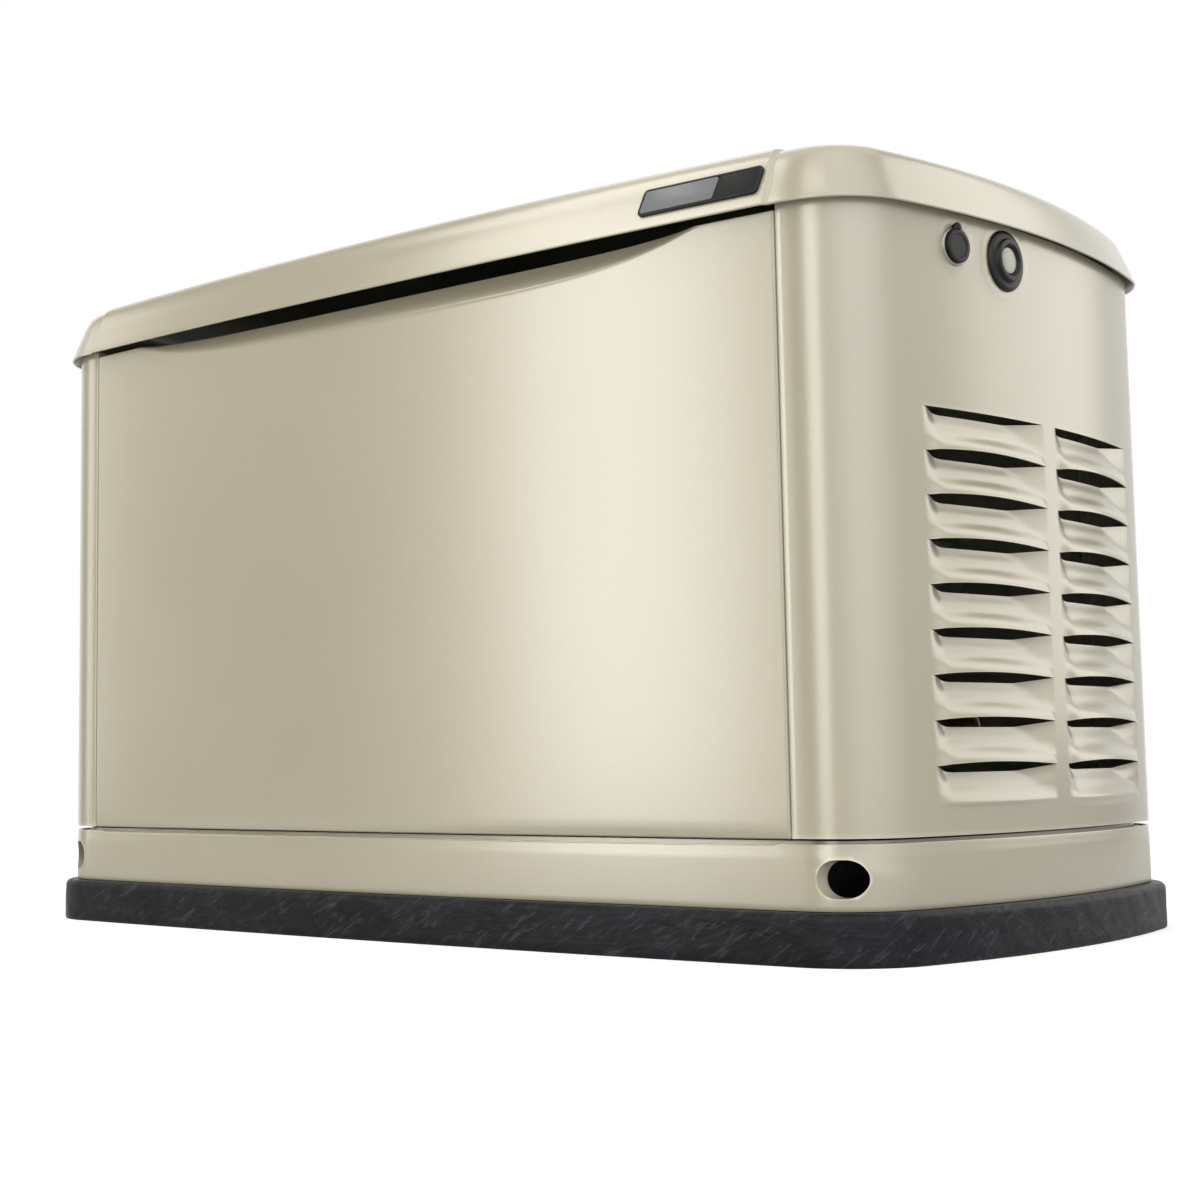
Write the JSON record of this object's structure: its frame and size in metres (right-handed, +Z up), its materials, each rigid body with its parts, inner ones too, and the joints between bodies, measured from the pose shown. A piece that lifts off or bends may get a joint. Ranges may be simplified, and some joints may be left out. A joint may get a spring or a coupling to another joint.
{
  "type": "home standby generator",
  "caption": "Home standby generator in a powder-coated steel enclosure on a composite pad, with a hinged lid, a lift-off front panel, louvred ends and an engine-driven alternator inside.",
  "frame": {"origin": "centre of the pad's underside, where the unit stands on the ground", "axes": "+X to the right seen from the front, along the unit's length; +Y from the front to the rear; +Z up"},
  "size_m": [1.226, 0.638, 0.7319],
  "materials": {
    "pad_composite": "near-black composite with a fine slate texture",
    "powder_coat": "semi-gloss light khaki powder coat",
    "zinc_steel": "zinc-plated steel, dull",
    "galvanised_sheet": "galvanised sheet",
    "foam_rubber": "closed-cell foam strip",
    "black_plastic": "fine-textured charcoal plastic",
    "lens_plastic": "smooth translucent grey",
    "brass_fitting": "machined brass",
    "silver_foil": "satin silver plate, blank",
    "aluminised_steel": "aluminised steel with heat tint",
    "cast_aluminium": "die-cast aluminium",
    "black_paint": "satin black paint",
    "plug_ceramic": "white ceramic",
    "cast_iron": "machined cast iron",
    "machined_steel": "ground steel",
    "copper_winding": "varnished copper winding on a laminated core",
    "white_paint": "gloss white paint, unmarked",
    "yellow_plastic": "yellow moulded grip",
    "hose_rubber": "moulded black rubber",
    "display_glass": "blank grey-green display window",
    "green_plastic": "green key",
    "blue_plastic": "blue key",
    "red_plastic": "red key",
    "white_plastic": "off-white moulded handle",
    "battery_plastic": "ribbed black battery case"
  },
  "bodies": {
    "enclosure": {"composite_pad": "pad_composite", "base_frame": "powder_coat", "right_end_panel": "powder_coat", "left_end_panel": "powder_coat", "rear_panel": "powder_coat", "panel_screws": "zinc_steel", "partition_shelf": "galvanised_sheet", "lid_gasket": "foam_rubber", "hinge_leaves": "zinc_steel", "hinge_pins": "zinc_steel", "lock_housings": "black_plastic", "status_bezel": "black_plastic", "status_lens": "lens_plastic", "fuel_inlet": "brass_fitting", "exhaust_box": "galvanised_sheet", "muffler": "aluminised_steel", "exhaust_pipes": "aluminised_steel", "crankcase": "cast_aluminium", "cylinder_front": "cast_aluminium", "cylinder_rear": "cast_aluminium", "valve_covers": "black_paint", "spark_plugs": "plug_ceramic", "blower_housing": "black_plastic", "alternator_stator": "black_paint", "alternator_end_bell": "cast_aluminium", "rotor_bearing": "machined_steel", "oil_filter": "white_paint", "dipstick_tube": "zinc_steel", "air_box": "black_plastic", "air_box_cover": "black_plastic", "throttle_body": "cast_aluminium", "fuel_regulator": "cast_aluminium", "fuel_hose": "hose_rubber", "starter_motor": "black_paint", "controller_box": "black_plastic", "display": "display_glass", "main_breaker": "black_plastic", "battery": "battery_plastic", "battery_tray": "black_plastic", "isolators": "hose_rubber"},
    "lid": {"lid": "powder_coat", "hinge_straps": "zinc_steel", "lid_catches": "zinc_steel", "badge_bezel": "black_plastic", "badge_plate": "silver_foil"},
    "front_panel": {"front_panel": "powder_coat"},
    "lock_barrel_right": {"lock_barrel_right": "zinc_steel"},
    "lock_barrel_left": {"lock_barrel_left": "zinc_steel"},
    "lock_cover_right": {"lock_cover_right": "black_plastic"},
    "lock_cover_left": {"lock_cover_left": "black_plastic"},
    "rotor": {"flywheel_fan": "cast_iron", "crankshaft": "machined_steel", "alternator_rotor": "copper_winding"},
    "dipstick": {"dipstick": "yellow_plastic"},
    "throttle_plate": {"throttle_plate": "brass_fitting"},
    "starter_pinion": {"starter_pinion": "machined_steel"},
    "button_auto": {"button_auto": "green_plastic"},
    "button_manual": {"button_manual": "blue_plastic"},
    "button_off": {"button_off": "red_plastic"},
    "breaker_handle": {"breaker_handle": "white_plastic"}
  },
  "joints": [
    {"name": "lid_hinge", "type": "hinge", "parent": "enclosure", "child": "lid", "pos_m": [0, 0.311, 0.655], "axis": [-1, 0, 0], "range_deg": [0, 95]},
    {"name": "front_panel_lift_off", "type": "slide", "parent": "enclosure", "child": "front_panel", "axis": [0, -1, 0], "range_m": [0, 0.3]},
    {"name": "lock_right_turn", "type": "hinge", "parent": "enclosure", "child": "lock_barrel_right", "pos_m": [0.58737, -0.148, 0.64], "axis": [0.9897, -0.143, 0], "range_deg": [0, 90]},
    {"name": "lock_left_turn", "type": "hinge", "parent": "enclosure", "child": "lock_barrel_left", "pos_m": [-0.58737, -0.148, 0.64], "axis": [0.9897, 0.143, 0], "range_deg": [0, 90]},
    {"name": "lock_cover_right_swing", "type": "hinge", "parent": "enclosure", "child": "lock_cover_right", "pos_m": [0.58737, -0.148, 0.657], "axis": [0.9897, -0.143, 0], "range_deg": [-70, 70]},
    {"name": "lock_cover_left_swing", "type": "hinge", "parent": "enclosure", "child": "lock_cover_left", "pos_m": [-0.58737, -0.148, 0.657], "axis": [-0.9897, -0.143, 0], "range_deg": [-70, 70]},
    {"name": "engine_spin", "type": "hinge", "parent": "enclosure", "child": "rotor", "pos_m": [0, 0.02, 0.235], "axis": [1, 0, 0], "continuous": true},
    {"name": "starter_spin", "type": "hinge", "parent": "enclosure", "child": "starter_pinion", "pos_m": [0, 0.16, 0.165], "axis": [1, 0, 0], "continuous": true},
    {"name": "throttle_turn", "type": "hinge", "parent": "enclosure", "child": "throttle_plate", "pos_m": [-0.15, 0.02, 0.452], "axis": [1, 0, 0], "range_deg": [0, 75]},
    {"name": "dipstick_pull", "type": "slide", "parent": "enclosure", "child": "dipstick", "axis": [0, 0, 1], "range_m": [0, 0.25]},
    {"name": "auto_press", "type": "slide", "parent": "enclosure", "child": "button_auto", "axis": [0, 0, -1], "range_m": [0, 0.0025], "stiffness_N_per_m": 400},
    {"name": "manual_press", "type": "slide", "parent": "enclosure", "child": "button_manual", "axis": [0, 0, -1], "range_m": [0, 0.0025], "stiffness_N_per_m": 400},
    {"name": "off_press", "type": "slide", "parent": "enclosure", "child": "button_off", "axis": [0, 0, -1], "range_m": [0, 0.0025], "stiffness_N_per_m": 400},
    {"name": "breaker_toggle", "type": "hinge", "parent": "enclosure", "child": "breaker_handle", "pos_m": [0.47, -0.11, 0.598], "axis": [-1, 0, 0], "range_deg": [0, 50]}
  ]
}
